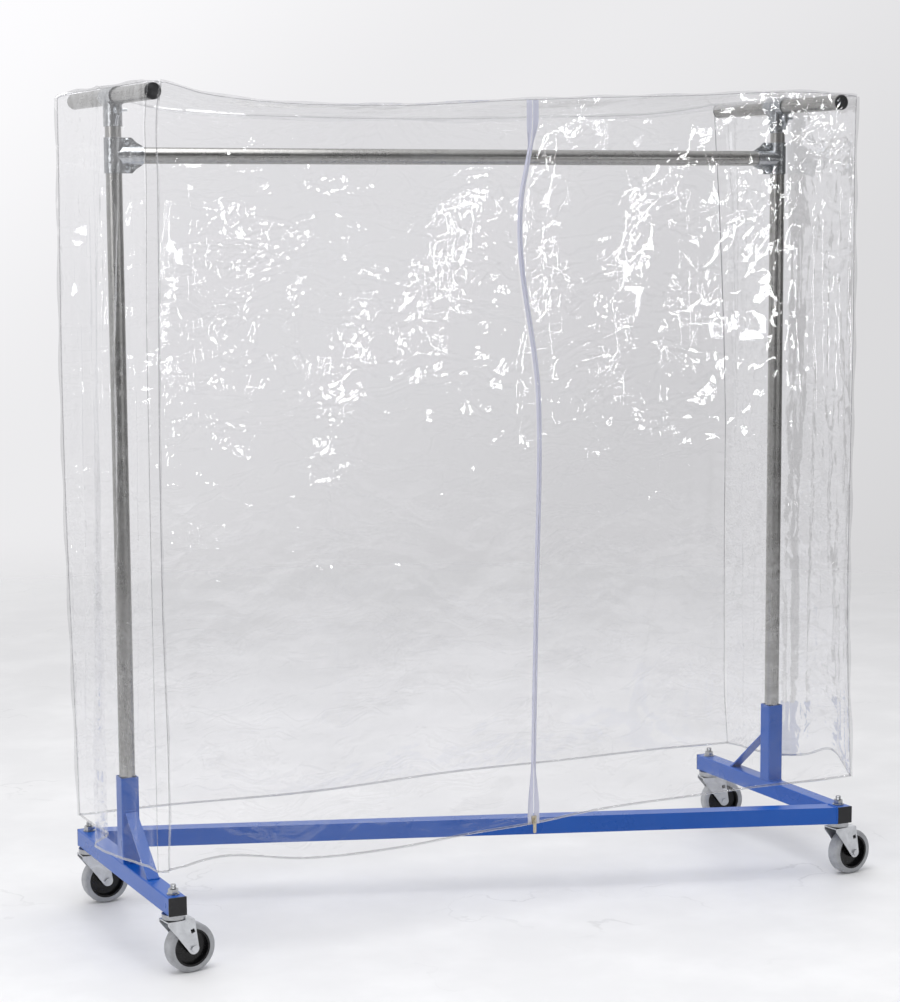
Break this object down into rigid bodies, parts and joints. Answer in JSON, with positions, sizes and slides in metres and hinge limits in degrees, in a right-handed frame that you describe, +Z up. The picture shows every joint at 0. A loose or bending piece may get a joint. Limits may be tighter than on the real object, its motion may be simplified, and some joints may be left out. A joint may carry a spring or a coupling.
{
  "type": "garment rail",
  "caption": "Rolling garment rail: Z-shaped square-tube base on swivel casters, round uprights and hang rail, pressed tee clamps, cover bars and a clear zip-up hanging cover.",
  "frame": {"origin": "on the floor, under the middle of the base, midway between the two uprights", "axes": "+X along the hang rail, +Y from the zip side to the back, +Z up"},
  "size_m": [1.7169, 0.61, 1.7684],
  "materials": {
    "blue_powder_coat": "satin powder coat",
    "galvanised_tube": "galvanised, drawn along its length",
    "zinc_pressing": "zinc-plated pressing",
    "bright_zinc": "bright zinc plate",
    "steel": "bare steel",
    "black_plastic": "moulded black",
    "black_hub": "moulded black",
    "grey_tyre": "grey non-marking rubber",
    "clear_vinyl": "clear soft vinyl sheet",
    "zip_tape": "woven white tape",
    "brass": "die-cast, worn"
  },
  "bodies": {
    "frame": {"left_side_tube": "blue_powder_coat", "left_socket": "blue_powder_coat", "left_brace": "blue_powder_coat", "right_side_tube": "blue_powder_coat", "right_socket": "blue_powder_coat", "right_brace": "blue_powder_coat", "crossbar": "blue_powder_coat", "base_end_caps": "black_plastic", "left_upright": "galvanised_tube", "left_cover_bar": "galvanised_tube", "right_upright": "galvanised_tube", "right_cover_bar": "galvanised_tube", "hang_rail": "galvanised_tube", "cover_bar_plugs": "black_plastic", "left_rail_clamp_front": "zinc_pressing", "left_rail_clamp_back": "zinc_pressing", "left_bar_clamp_left": "zinc_pressing", "left_bar_clamp_right": "zinc_pressing", "right_rail_clamp_front": "zinc_pressing", "right_rail_clamp_back": "zinc_pressing", "right_bar_clamp_left": "zinc_pressing", "right_bar_clamp_right": "zinc_pressing", "clamp_bolts": "bright_zinc", "clamp_nuts": "bright_zinc", "front_left_stem": "bright_zinc", "front_right_stem": "bright_zinc", "rear_left_stem": "bright_zinc", "rear_right_stem": "bright_zinc", "caster_nuts": "bright_zinc", "caster_washers": "bright_zinc", "caster_balls": "steel"},
    "cover": {"front_left_panel": "clear_vinyl", "front_right_panel": "clear_vinyl", "back_panel": "clear_vinyl", "left_end_panel": "clear_vinyl", "right_end_panel": "clear_vinyl", "top_panel": "clear_vinyl", "zip_tapes": "zip_tape"},
    "slider": {"zip_slider": "brass"},
    "pull": {"zip_pull": "brass"},
    "front_left_caster": {"front_left_fork": "bright_zinc", "front_left_axle": "bright_zinc", "front_left_bush": "steel"},
    "front_left_wheel": {"front_left_hub": "black_hub", "front_left_tyre": "grey_tyre"},
    "front_right_caster": {"front_right_fork": "bright_zinc", "front_right_axle": "bright_zinc", "front_right_bush": "steel"},
    "front_right_wheel": {"front_right_hub": "black_hub", "front_right_tyre": "grey_tyre"},
    "rear_left_caster": {"rear_left_fork": "bright_zinc", "rear_left_axle": "bright_zinc", "rear_left_bush": "steel"},
    "rear_left_wheel": {"rear_left_hub": "black_hub", "rear_left_tyre": "grey_tyre"},
    "rear_right_caster": {"rear_right_fork": "bright_zinc", "rear_right_axle": "bright_zinc", "rear_right_bush": "steel"},
    "rear_right_wheel": {"rear_right_hub": "black_hub", "rear_right_tyre": "grey_tyre"}
  },
  "joints": [
    {"name": "front_left_swivel", "type": "hinge", "parent": "frame", "child": "front_left_caster", "pos_m": [-0.8, -0.277, 0.1125], "axis": [0, 0, 1], "continuous": true},
    {"name": "front_left_roll", "type": "hinge", "parent": "front_left_caster", "child": "front_left_wheel", "pos_m": [-0.76668, -0.2735, 0.0508], "axis": [-0.1045, 0.9945, 0], "continuous": true},
    {"name": "front_right_swivel", "type": "hinge", "parent": "frame", "child": "front_right_caster", "pos_m": [0.8, -0.277, 0.1125], "axis": [0, 0, 1], "continuous": true},
    {"name": "front_right_roll", "type": "hinge", "parent": "front_right_caster", "child": "front_right_wheel", "pos_m": [0.83332, -0.2735, 0.0508], "axis": [-0.1045, 0.9945, 0], "continuous": true},
    {"name": "rear_left_swivel", "type": "hinge", "parent": "frame", "child": "rear_left_caster", "pos_m": [-0.8, 0.277, 0.1125], "axis": [0, 0, 1], "continuous": true},
    {"name": "rear_left_roll", "type": "hinge", "parent": "rear_left_caster", "child": "rear_left_wheel", "pos_m": [-0.7665, 0.277, 0.0508], "axis": [0, 1, 0], "continuous": true},
    {"name": "rear_right_swivel", "type": "hinge", "parent": "frame", "child": "rear_right_caster", "pos_m": [0.8, 0.277, 0.1125], "axis": [0, 0, 1], "continuous": true},
    {"name": "rear_right_roll", "type": "hinge", "parent": "rear_right_caster", "child": "rear_right_wheel", "pos_m": [0.83277, 0.27004, 0.0508], "axis": [0.2079, 0.9781, 0], "continuous": true},
    {"name": "cover_lift", "type": "slide", "parent": "frame", "child": "cover", "axis": [0, 0, 1], "range_m": [0, 1.5]},
    {"name": "zip_travel", "type": "slide", "parent": "cover", "child": "slider", "axis": [0, 0, 1], "range_m": [0, 1.5]},
    {"name": "pull_swing", "type": "hinge", "parent": "slider", "child": "pull", "pos_m": [0.02, -0.2705, 0.216], "axis": [-1, 0, 0], "range_deg": [0, 170]}
  ]
}
